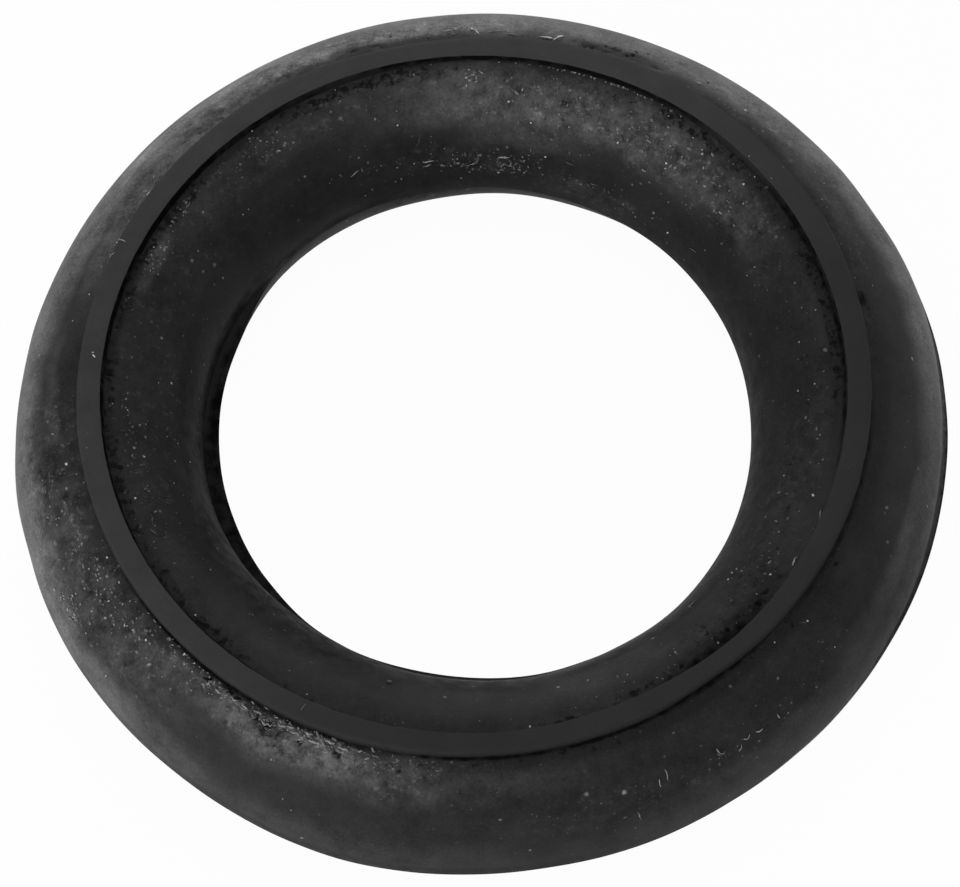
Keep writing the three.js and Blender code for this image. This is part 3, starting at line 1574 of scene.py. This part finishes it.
@dataclass
class Lint:
    """The dust, fibres and torn flaps that lie on the skin.

    Attributes:
        ring: The ring that they lie on.
        finish: Their finish.
        seed: The seed of the random draws.
        cluster: A cluster's standard deviation, as a share of its reach.
        size_spread: The smallest crumb's size as a share of the cluster's, and what the
            largest adds to it.
        pale_spread: The same for the brightness.
        large_dull: By what share the largest crumb is duller.
        crumb_rough: How uneven a crumb is, as a share of its size.
        crumb_rate: How fast that changes over a crumb.
        crumb_key: How far apart the noise of two crumbs lies, per metre between them.
        crumb_flat: A crumb's height as a share of its width.
        crumb_seat: How high its middle lies, as a share of its width.
        strand_sides: The number of sides of a strand.
        strand_tip: The radius of its far end, where 0.5 is the near one's.
        cuts: The number of cuts along it.
        thickness: Its thickness, in millimetres.
        taper: The share of its width that is left at its ends, and what its middle adds.
        strand_seat: How high it lies at its ends, as a share of its thickness.
        fray: How far its edges wander, as a share of its width.
        fray_rate: How often they do, for each millimetre.
        crumbs: The single crumbs.
        scatters: The clusters of crumbs.
        strands: The fibres and flaps.
    """

    ring: HangerRing
    finish: LintFinish
    seed: int = 11
    cluster: float = 0.5
    size_spread: tuple[float, float] = (0.8, 1.6)
    pale_spread: tuple[float, float] = (0.25, 1.3)
    large_dull: float = 0.6
    crumb_rough: float = 0.35
    crumb_rate: float = 3.0
    crumb_key: float = 9000.0
    crumb_flat: float = 0.5
    crumb_seat: float = 0.15
    strand_sides: int = 6
    strand_tip: float = 0.3
    cuts: int = 8
    thickness: float = 0.05
    taper: tuple[float, float] = (0.35, 0.65)
    strand_seat: float = 0.3
    fray: float = 0.7
    fray_rate: float = 5.0
    crumbs: tuple[Crumb, ...] = (
        Crumb(9, 119.5), Crumb(0.5, 113), Crumb(0, 124), Crumb(13.5, 105), Crumb(37, 112),
        Crumb(40.5, 113), Crumb(39.5, 104, 0.2, 0.75), Crumb(39.3, 96), Crumb(46.3, 122),
        Crumb(44.5, 121, 0.13, 0.5, 1.9, 40), Crumb(48.5, 107, 0.2, 0.5), Crumb(49, 105),
        Crumb(33, 121, 0.1, 0.25), Crumb(39, 121, 0.1, 0.25), Crumb(41.8, 120, 0.11, 0.35),
        Crumb(53, 124, 0.19, 0.85), Crumb(52.7, 127, 0.14, 0.55), Crumb(51, 123, 0.1, 0.4),
        Crumb(54, 114), Crumb(56, 105, 0.22, 0.2), Crumb(63, 127, 0.16, 0.65, 1.4, 70),
        Crumb(71, 118, 0.1, 0.35), Crumb(75, 122, 0.12, 0.35), Crumb(69, 125, 0.1, 0.3),
        Crumb(80, 130, 0.15, 0.7), Crumb(82.3, 111, 0.13, 0.35, 2.2, 85),
        Crumb(84.5, 119, 0.17, 0.6, 1.5, 20), Crumb(85, 128, 0.12, 0.3),
        Crumb(76.3, 149, 0.17, 0.75), Crumb(46.5, 161, 0.14, 0.7, 1.9, 80),
        Crumb(51, 155, 0.26, 0.18), Crumb(54.7, 166, 0.13, 0.3), Crumb(49, 143, 0.12, 0.3),
        Crumb(45.5, 137, 0.12, 0.3), Crumb(37, 150, 0.12, 0.2), Crumb(26.3, 136, 0.12, 0.35),
        Crumb(26.5, 129, 0.12, 0.35), Crumb(86, 165, 0.16, 0.55, 1.5, 30),
        Crumb(80.5, 163, 0.14, 0.4), Crumb(81, 152, 0.13, 0.35), Crumb(42, 91.5, 0.1, 0.3),
        Crumb(36.8, 91, 0.1, 0.3), Crumb(48.5, 68, 0.18, 0.6, 1.4, 45), Crumb(44, 67, 0.12, 0.3),
        Crumb(38.5, 66, 0.12, 0.3), Crumb(35, 63, 0.12, 0.3), Crumb(5, 49, 0.13, 0.5, 2.2, 10),
        Crumb(15.5, 67, 0.12, 0.3), Crumb(56, 73, 0.3, 0.25, 1.6, 10), Crumb(44, 75, 0.12, 0.3),
        Crumb(92, 110, 0.16, 0.35, 1.5, 80), Crumb(101, 157, 0.12, 0.35),
        Crumb(103.5, 153.5, 0.14, 0.45), Crumb(95.5, 154.5, 0.12, 0.4), Crumb(97, 147, 0.12, 0.4),
        Crumb(94, 169.5, 0.14, 0.3), Crumb(108, 163, 0.13, 0.25), Crumb(115, 166, 0.13, 0.25),
        Crumb(105.3, 128, 0.14, 0.6), Crumb(109, 121, 0.22, 0.22), Crumb(138.3, 130, 0.13, 0.35),
        Crumb(139.8, 130, 0.13, 0.4), Crumb(113.8, 104, 0.13, 0.3), Crumb(100.7, 100, 0.13, 0.45),
        Crumb(113.8, 96, 0.12, 0.3), Crumb(129, 94.5, 0.13, 0.6), Crumb(151, 123, 0.12, 0.25),
        Crumb(177, 137, 0.13, 0.6, 1.6, 50), Crumb(178, 128, 0.11, 0.3),
        Crumb(93.5, 68, 0.18, 0.4), Crumb(105, 69, 0.13, 0.35), Crumb(111, 66, 0.13, 0.3),
        Crumb(106, 60, 0.12, 0.3), Crumb(165.5, 74, 0.13, 0.4), Crumb(146.3, 53, 0.12, 0.3),
        Crumb(150.5, 52, 0.12, 0.3), Crumb(169.8, 68, 0.12, 0.35), Crumb(174, 45, 0.12, 0.35),
        Crumb(176.2, 88, 0.13, 0.75, 2.4, 45), Crumb(175.6, 87, 0.09, 0.6, 2.0, 100),
        Crumb(192, 151, 0.14, 0.65), Crumb(189, 142, 0.12, 0.4), Crumb(198, 132, 0.12, 0.3),
        Crumb(188.3, 134, 0.12, 0.3), Crumb(193, 116, 0.16, 0.6, 1.5, 60), Crumb(184.5, 109),
        Crumb(182.5, 108, 0.12, 0.35, 2.0, 130), Crumb(186.7, 120, 0.1, 0.35),
        Crumb(200.5, 104, 0.18, 0.8), Crumb(183.5, 100, 0.1, 0.35), Crumb(217, 126, 0.11, 0.45),
        Crumb(228.6, 125, 0.1, 0.3), Crumb(230.5, 138, 0.1, 0.25), Crumb(223, 98, 0.14, 0.7),
        Crumb(244.8, 98, 0.12, 0.4), Crumb(256, 127, 0.4, 0.06), Crumb(192, 69, 0.2, 0.65, 1.3, 30),
        Crumb(207.7, 75, 0.16, 0.65), Crumb(209, 66, 0.13, 0.4), Crumb(207.5, 62, 0.13, 0.5),
        Crumb(211.5, 61, 0.13, 0.4), Crumb(213, 63, 0.13, 0.45, 1.7, 80), Crumb(214.7, 69),
        Crumb(218.5, 65, 0.15, 0.45, 1.7, 75), Crumb(219.8, 65, 0.13, 0.5), Crumb(222.5, 60),
        Crumb(220.8, 67, 0.19, 0.7), Crumb(212.3, 50, 0.14, 0.5), Crumb(226.3, 77.5, 0.15, 0.65),
        Crumb(228.3, 77.5, 0.13, 0.5), Crumb(203, 63, 0.12, 0.4), Crumb(203.5, 45, 0.12, 0.4),
        Crumb(213.5, 37, 0.13, 0.5), Crumb(219, 29, 0.12, 0.35, 3.0, 80),
        Crumb(247, 36, 0.12, 0.35), Crumb(248.3, 31, 0.12, 0.3), Crumb(250, 12, 0.15, 0.3, 2, 10),
        Crumb(279.3, 96.5, 0.15, 0.85), Crumb(290.3, 120.5, 0.13, 0.35, 1.6, 45),
        Crumb(296.5, 112, 0.12, 0.35), Crumb(305, 109, 0.15, 0.35), Crumb(321.3, 126, 0.13, 0.6),
        Crumb(322.7, 127, 0.13, 0.5), Crumb(323.7, 126, 0.13, 0.45), Crumb(325, 103, 0.15, 0.6),
        Crumb(340.2, 103, 0.17, 0.65, 1.5, 60), Crumb(351, 108, 0.12, 0.3),
        Crumb(343.5, 126, 0.12, 0.35), Crumb(335, 128, 0.12, 0.25), Crumb(271.8, 103, 0.11, 0.3),
        Crumb(311, 97, 0.14, 0.35), Crumb(322.5, 69, 0.15, 0.55), Crumb(317, 75, 0.12, 0.4),
        Crumb(346.8, 25, 0.12, 0.35, 3.0, 70), Crumb(322.8, 46, 0.13, 0.35),
    )
    scatters: tuple[Scatter, ...] = (
        Scatter(52, 118, 17, 18, 90, 0.1, 0.3),
        Scatter(74, 118, 20, 16, 90, 0.11, 0.24),
        Scatter(70, 94.6, 17, 0.7, 44, 0.11, 0.4),
        Scatter(90.8, 104, 1.6, 5, 26, 0.1, 0.55),
        Scatter(77, 103, 4, 6, 12, 0.09, 0.3),
        Scatter(88, 157, 14, 8, 80, 0.11, 0.25),
        Scatter(60, 160, 14, 12, 30, 0.09, 0.2),
        Scatter(108, 150, 12, 12, 20, 0.08, 0.3),
        Scatter(130, 108, 5, 6, 22, 0.09, 0.3),
        Scatter(157, 103, 5, 6, 34, 0.09, 0.42),
        Scatter(147, 102, 3, 4, 14, 0.09, 0.3),
        Scatter(184, 110, 12, 12, 22, 0.08, 0.28),
        Scatter(204, 108, 10, 10, 22, 0.08, 0.22),
        Scatter(214, 64, 11, 12, 84, 0.11, 0.34, 1.4),
        Scatter(200, 60, 12, 20, 44, 0.09, 0.3),
        Scatter(209, 37, 3.4, 9, 60, 0.11, 0.45),
        Scatter(228, 75, 8, 5, 60, 0.08, 0.35, 3, 50),
        Scatter(240, 73.5, 10, 5, 110, 0.085, 0.26, 3.5, 50),
        Scatter(248, 75.5, 7, 3.4, 110, 0.09, 0.34, 3.5, 50),
        Scatter(258, 74, 9, 5, 60, 0.08, 0.25, 3, 60),
        Scatter(147, 74, 3, 3, 16, 0.1, 0.4),
        Scatter(100, 71, 16, 5, 34, 0.09, 0.35),
        Scatter(60, 68, 14, 8, 24, 0.09, 0.25),
        Scatter(40, 66, 10, 10, 14, 0.09, 0.25),
        Scatter(330, 112, 18, 16, 20, 0.08, 0.22),
        Scatter(304, 42, 12, 7, 12, 0.09, 0.3),
        Scatter(300, 104, 16, 9, 18, 0.08, 0.25),
        Scatter(355, 112, 14, 12, 12, 0.08, 0.2),
    )
    strands: tuple[Strand, ...] = (
        Strand(81.2, 72.0, 1.1, 176, 10, 0.22, 0.08, 0.6),
        Strand(78.9, 72.6, 0.85, 216, 10, 0.18, 0.14, 0.75),
        Strand(91.2, 66.5, 0.9, 110, 40, 0.2, 0.12, 0.8),
        Strand(94.0, 68.0, 0.6, 10, 20, 0.1, 0.05, 0.4),
        Strand(88.6, 71.0, 0.9, 185, 10, 0.08, 0.05, 0.4),
        Strand(85.8, 72.0, 0.8, 170, 0, 0.08, 0.05, 0.3),
        Strand(82.0, 156.5, 0.7, 20, 110, 0.1, 0.05, 0.4),
        Strand(84.0, 159.5, 0.6, 200, 100, 0.1, 0.05, 0.35),
        Strand(86.0, 154.0, 0.8, 195, -20, 0.16, 0.05, 0.35),
        Strand(99.4, 154.0, 0.8, 0, 0, 0.1, 0.04, 0.5),
        Strand(100.0, 156.0, 0.6, 10, 0, 0.08, 0.04, 0.35),
        Strand(102.5, 142.5, 0.8, 215, 60, 0.06, 0.03, 0.12),
        Strand(93.0, 160.0, 0.9, 190, 20, 0.06, 0.04, 0.3),
        Strand(90.5, 158.5, 0.9, 250, 40, 0.06, 0.04, 0.3),
        Strand(115.0, 147.0, 0.7, 10, 20, 0.07, 0.04, 0.35),
        Strand(72.0, 149.0, 0.7, 172, 0, 0.06, 0.03, 0.12),
        Strand(66.0, 158.0, 0.5, 190, 0, 0.09, 0.03, 0.2),
        Strand(38.5, 156.5, 0.7, 0, 30, 0.06, 0.03, 0.14),
        Strand(224.0, 163.0, 2.8, 285, 20, 0.04, 0.02, 0.08),
        Strand(201.0, 118.0, 0.9, 30, 40, 0.07, 0.03, 0.1),
        Strand(204.5, 110.0, 0.7, 320, 40, 0.07, 0.03, 0.1),
        Strand(206.5, 105.5, 0.6, 10, 30, 0.07, 0.03, 0.12),
        Strand(313.6, 139.0, 0.8, 265, 0, 0.07, 0.03, 0.16),
        Strand(313.4, 136.5, 0.8, 12, -10, 0.09, 0.03, 0.24),
        Strand(336.5, 93.6, 0.7, 10, 20, 0.09, 0.04, 0.25),
        Strand(328.0, 95.0, 0.7, 12, -10, 0.11, 0.04, 0.3),
        Strand(294.3, 46.5, 0.5, 265, 0, 0.09, 0.05, 0.4),
        Strand(295.4, 51.0, 0.8, 275, -15, 0.09, 0.05, 0.25),
        Strand(302.5, 47.0, 0.7, 270, 60, 0.1, 0.05, 0.3),
        Strand(306.2, 43.0, 0.55, 300, 130, 0.12, 0.06, 0.3),
        Strand(308.0, 42.0, 0.5, 330, 40, 0.08, 0.05, 0.35),
        Strand(311.5, 42.5, 0.45, 250, 60, 0.1, 0.05, 0.3),
        Strand(305.0, 38.0, 0.5, 20, 60, 0.07, 0.05, 0.3),
        Strand(290.7, 31.5, 0.6, 280, 0, 0.07, 0.05, 0.3),
        Strand(156.4, 76.0, 0.9, 75, 20, 0.1, 0.06, 0.5),
        Strand(160.0, 77.0, 0.7, 120, 40, 0.08, 0.05, 0.4),
        Strand(256.0, 76.5, 0.6, 175, 20, 0.16, 0.08, 0.26),
        Strand(253.5, 75.0, 0.7, 160, 40, 0.18, 0.1, 0.3),
        Strand(251.5, 77.0, 0.6, 190, -20, 0.2, 0.1, 0.34),
        Strand(249.5, 74.5, 0.8, 205, -40, 0.18, 0.1, 0.32),
        Strand(248.0, 76.5, 0.6, 165, 30, 0.2, 0.1, 0.36),
        Strand(246.5, 74.0, 0.7, 150, 60, 0.16, 0.1, 0.27),
        Strand(244.5, 75.5, 0.7, 195, -30, 0.2, 0.1, 0.3),
        Strand(242.5, 73.0, 0.8, 210, -50, 0.16, 0.1, 0.26),
        Strand(240.5, 75.5, 0.6, 170, 30, 0.18, 0.1, 0.29),
        Strand(238.5, 73.5, 0.6, 145, 60, 0.14, 0.08, 0.32),
        Strand(236.5, 75.5, 0.5, 180, 20, 0.16, 0.08, 0.34),
        Strand(234.0, 73.5, 0.5, 200, -40, 0.12, 0.06, 0.3),
        Strand(245.5, 86.0, 0.5, 80, 0, 0.05, 0.02, 0.2),
        Strand(322.2, 69.0, 0.5, 130, 20, 0.06, 0.03, 0.15),
    )

    def build(self) -> bpy.types.Object:
        """Makes one object of all crumbs and strands.

        Returns:
            The object, with its material.
        """
        random.seed(self.seed)
        bm = bmesh.new()
        tone = bm.verts.layers.float.new("pale")
        for strand in self.strands:
            self.add_strand(bm, tone, strand)
        for crumb in self.crumbs:
            self.add_crumb(bm, tone, crumb)
        for scatter in self.scatters:
            for crumb in self.scattered(scatter):
                self.add_crumb(bm, tone, crumb)
        bmesh.ops.recalc_face_normals(bm, faces=bm.faces[:])
        return make_object("lint", bm, self.finish.make())

    def scattered(self, scatter: Scatter) -> list[Crumb]:
        """Draws the crumbs of a cluster, most of them small and dull.

        Args:
            scatter: The cluster.

        Returns:
            Its crumbs.
        """
        smallest, larger = self.size_spread
        dullest, brighter = self.pale_spread
        crumbs = []
        for _ in range(scatter.count):
            large, light = random.random() ** 3, random.random() ** 2
            pale = scatter.pale * (dullest + brighter * light) * (1 - self.large_dull * large)
            crumbs.append(
                Crumb(
                    angle=scatter.angle + random.gauss(0, self.cluster) * scatter.spread,
                    section=scatter.section + random.gauss(0, self.cluster) * scatter.reach,
                    size=scatter.size * (smallest + larger * large),
                    pale=pale,
                    stretch=1 + scatter.stretch * random.random() ** 2,
                    heading=random.uniform(-scatter.fan, scatter.fan),
                )
            )
        return crumbs

    def seat(self, angle: float, section: float) -> tuple[Vector, Vector]:
        """The nearest point of the ring's skin and the direction out of it.

        Args:
            angle: Degrees round the ring.
            section: Degrees on the section.

        Returns:
            The point in metres, and the outward unit vector.
        """
        form = self.ring.form
        across = form.reach * math.cos(math.radians(section))
        inner, outer = form.land_edges(angle, Face.UPPER)
        height = form.top if inner <= across <= outer else form.oval_height(across)
        guess = form.place(angle, across, height, Face.UPPER) * MM
        point, normal, _, _ = self.ring.skin.find_nearest(guess)
        return point, normal

    def axes(self, angle: float, normal: Vector) -> tuple[Vector, Vector]:
        """Finds the two ways along the skin.

        Args:
            angle: Degrees round the ring.
            normal: The way out of the skin.

        Returns:
            The unit vectors round the ring and over its section.
        """
        turn = math.radians(angle)
        around = Vector((-math.sin(turn), math.cos(turn), 0))
        around = (around - normal * around.dot(normal)).normalized()
        return around, normal.cross(around)

    def add_crumb(self, bm: bmesh.types.BMesh, tone: bmesh.types.BMLayerItem, crumb: Crumb) -> None:
        """Sets one flattened grain on the skin.

        Args:
            bm: The lint's mesh.
            tone: Its layer of brightness.
            crumb: The grain.
        """
        point, normal = self.seat(crumb.angle, crumb.section)
        around, over = self.axes(crumb.angle, normal)
        heading = math.radians(crumb.heading)
        length = around * math.cos(heading) + over * math.sin(heading)
        width = normal.cross(length)
        grain = bmesh.ops.create_icosphere(bm, subdivisions=1, radius=0.5)["verts"]
        size = crumb.size * MM
        for vertex in grain:
            key = vertex.co * self.crumb_rate + point * self.crumb_key
            local = vertex.co * (1 + self.crumb_rough * noise.noise(key))
            vertex.co = point + length * local.x * size * crumb.stretch + width * local.y * size
            vertex.co += normal * (local.z * self.crumb_flat + self.crumb_seat) * size
            vertex[tone] = crumb.pale

    def add_strand(
        self, bm: bmesh.types.BMesh, tone: bmesh.types.BMLayerItem, strand: Strand
    ) -> None:
        """Lays one tapering fibre or flap along the skin.

        Args:
            bm: The lint's mesh, in which everything so far has its brightness.
            tone: Its layer of brightness.
            strand: The fibre or flap.
        """
        bmesh.ops.create_cone(
            bm,
            cap_ends=True,
            segments=self.strand_sides,
            radius1=0.5,
            radius2=self.strand_tip,
            depth=1.0,
        )
        straight = {vertex for vertex in bm.verts if vertex[tone] == 0.0}
        edges = [edge for edge in bm.edges if edge.verts[0] in straight]
        sides = [edge for edge in edges if abs(edge.verts[0].co.z - edge.verts[1].co.z) > 0.5]
        bmesh.ops.subdivide_edges(bm, edges=sides, cuts=self.cuts, use_grid_fill=True)
        for vertex in bm.verts:
            if vertex[tone] == 0.0:
                self.bend(vertex, strand)
                vertex[tone] = strand.pale

    def bend(self, vertex: bmesh.types.BMVert, strand: Strand) -> None:
        """Moves a vertex of the straight strand onto its curved path.

        Args:
            vertex: The vertex, on a strand one long and one wide that stands on its end.
            strand: The fibre or flap.
        """
        share = vertex.co.z + 0.5
        form = self.ring.form
        heading = math.radians(strand.heading)
        curl = math.radians(strand.curl)
        around, over = 0.0, 0.0
        for part in range(self.cuts):
            way = heading + curl * share * (part + 0.5) / self.cuts
            around += math.cos(way) * share * strand.length / self.cuts
            over += math.sin(way) * share * strand.length / self.cuts
        radius = form.crown_radius + form.reach * math.cos(math.radians(strand.section))
        angle = strand.angle + math.degrees(around / radius)
        section = strand.section + math.degrees(over / form.reach)
        point, normal = self.seat(angle, section)
        along, across = self.axes(angle, normal)
        way = heading + curl * share
        side = across * math.cos(way) - along * math.sin(way)
        ends, middle = self.taper
        taper = ends + middle * math.sin(math.pi * min(max(share, 0.05), 0.95))
        rise = strand.lift * math.sin(math.pi * share) + self.strand_seat * self.thickness
        key = Vector((share * strand.length * self.fray_rate, strand.angle, vertex.co.x))
        x, y = vertex.co.x + self.fray * noise.noise(key), vertex.co.y
        vertex.co = point + side * x * strand.width * taper * MM
        vertex.co += normal * (y * self.thickness * taper + rise) * MM


@dataclass(frozen=True)
class StudioLamp:
    """One soft lamp.

    Attributes:
        name: What it is called.
        azimuth: Where it stands, in degrees from +X towards +Y.
        elevation: How high it stands, in degrees.
        size: Its width, in metres.
        strength: The light that it adds on a card that faces it, where 1 makes white.
    """

    name: str
    azimuth: float
    elevation: float
    size: float
    strength: float

    def build(self, target: Vector, distance: float) -> bpy.types.Object:
        """Places the lamp and aims it.

        Args:
            target: What it is aimed at, in metres.
            distance: How far from there it stands, in metres.

        Returns:
            The lamp's object.
        """
        turn, rise = math.radians(self.azimuth), math.radians(self.elevation)
        level = math.cos(rise)
        away = Vector((math.cos(turn) * level, math.sin(turn) * level, math.sin(rise)))
        data = bpy.data.lights.new(self.name, "AREA")
        data.shape = "DISK"
        data.size = self.size
        data.energy = self.strength * math.pi**2 * distance**2
        lamp = bpy.data.objects.new(self.name, data)
        lamp.location = target + away * distance
        lamp.rotation_euler = away.to_track_quat("Z", "Y").to_euler()
        bpy.context.scene.collection.objects.link(lamp)
        return lamp


@dataclass(frozen=True)
class Studio:
    """The white table, the white surroundings, the lamps and the camera.

    Attributes:
        table_size: The table's width, in metres.
        table_colour: Its level of grey.
        table_glow: How far it is seen as plain white; the rest of it shows the shadow.
        surround: The strength of the light from all round.
        camera_place: Where the camera stands, in millimetres.
        camera_target: What it looks at, in millimetres.
        camera_roll: How far it is rolled, in degrees.
        lens: Its focal length, in millimetres.
        sensor: Its sensor's width, in millimetres.
        clip: The nearest and the farthest distance that it sees, in metres.
        lamp_target: What the lamps are aimed at, in metres.
        lamp_distance: How far from there they stand, in metres.
        lamps: The lamps.
    """

    table_size: float = 3.0
    table_colour: float = 0.8
    table_glow: float = 0.97
    surround: float = 0.06
    camera_place: tuple[float, float, float] = (7.68, -95.8, 219.0)
    camera_target: tuple[float, float, float] = (-0.036, -1.393, 8.0)
    camera_roll: float = -4.2626
    lens: float = 129.07
    sensor: float = 36.0
    clip: tuple[float, float] = (0.01, 10.0)
    lamp_target: tuple[float, float, float] = (0.0, 0.0, 0.008)
    lamp_distance: float = 0.6
    lamps: tuple[StudioLamp, ...] = (
        StudioLamp("top_lamp", 0, 88, 0.35, 0.46),
        StudioLamp("back_lamp", 90, 10, 0.35, 0.64),
        StudioLamp("front_left_lamp", 225, 10, 0.35, 0.88),
        StudioLamp("left_lamp", 150, 10, 0.35, 0.14),
        StudioLamp("right_lamp", 15, 10, 0.35, 0.26),
        StudioLamp("front_lamp", 270, 10, 0.35, 0.22),
    )

    def build(self) -> None:
        """Makes everything that surrounds the ring."""
        self.table()
        self.surroundings()
        self.camera()
        for lamp in self.lamps:
            lamp.build(Vector(self.lamp_target), self.lamp_distance)
        bpy.context.scene.view_settings.view_transform = "Standard"

    def seen(self, graph: Graph) -> Wire:
        """Tells looking from lighting.

        Args:
            graph: The graph that uses it.

        Returns:
            1 where the camera, a reflection or a refraction looks, and 0 for the light itself.
        """
        path = graph.add("ShaderNodeLightPath")
        seen = Wire(graph, path.outputs["Is Camera Ray"])
        for name in ("Is Glossy Ray", "Is Transmission Ray"):
            seen = seen.highest(Wire(graph, path.outputs[name]))
        return seen

    def table(self) -> bpy.types.Object:
        """Makes the white table, which keeps part of the ring's shadow.

        Returns:
            The table.
        """
        bm = bmesh.new()
        bmesh.ops.create_grid(bm, x_segments=1, y_segments=1, size=self.table_size / 2)
        material = bpy.data.materials.new("white_table")
        graph = Graph(material)
        paint = graph.add("ShaderNodeBsdfDiffuse", None, {"Color": grey(self.table_colour)})
        glow = graph.add("ShaderNodeEmission", None, {"Color": grey(1.0), "Strength": 1.0})
        share = self.seen(graph) * self.table_glow
        inputs = {0: share, 1: paint.outputs[0], 2: glow.outputs[0]}
        mix = graph.add("ShaderNodeMixShader", None, inputs)
        graph.finish("ShaderNodeOutputMaterial", mix.outputs[0])
        table = make_object("table", bm, material, smoothed=False)
        return table

    def surroundings(self) -> None:
        """Makes the even light from all round, white where it is looked at."""
        world = bpy.data.worlds.new("white_surroundings")
        bpy.context.scene.world = world
        graph = Graph(world)
        strength = self.seen(graph) * (1 - self.surround) + self.surround
        back = graph.add("ShaderNodeBackground", None, {"Color": grey(1.0), "Strength": strength})
        graph.finish("ShaderNodeOutputWorld", back.outputs[0])

    def camera(self) -> bpy.types.Object:
        """Sets up the camera at the photograph's viewing angle.

        Returns:
            The camera's object, which is the scene's camera.
        """
        data = bpy.data.cameras.new("camera")
        data.sensor_width = self.sensor
        data.lens = self.lens
        data.clip_start, data.clip_end = self.clip
        camera = bpy.data.objects.new("camera", data)
        place, target = Vector(self.camera_place), Vector(self.camera_target)
        facing = (place - target).to_track_quat("Z", "Y").to_matrix().to_4x4()
        roll = Matrix.Rotation(math.radians(self.camera_roll), 4, "Z")
        camera.matrix_world = Matrix.Translation(place * MM) @ facing @ roll
        bpy.context.scene.collection.objects.link(camera)
        bpy.context.scene.camera = camera
        return camera


def attach(piece: bpy.types.Object) -> None:
    """Ties a piece to the ring's body and reports it.

    Args:
        piece: The piece.
    """
    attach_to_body(piece, ROOT_BODY)
    log.info("%s: %d faces", piece.name, len(piece.data.polygons))


def main() -> None:
    """Builds the ring, its dust and its surroundings."""
    logging.basicConfig(level=logging.INFO, format="%(message)s")
    Studio().build()
    hanger = HangerRing(RingForm(), SurfaceMap(), RubberFinish())
    ring = hanger.build()
    attach(ring)
    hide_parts(RING_NODE)
    attach(Lint(hanger, LintFinish()).build())


if __name__ == "__main__":
    main()
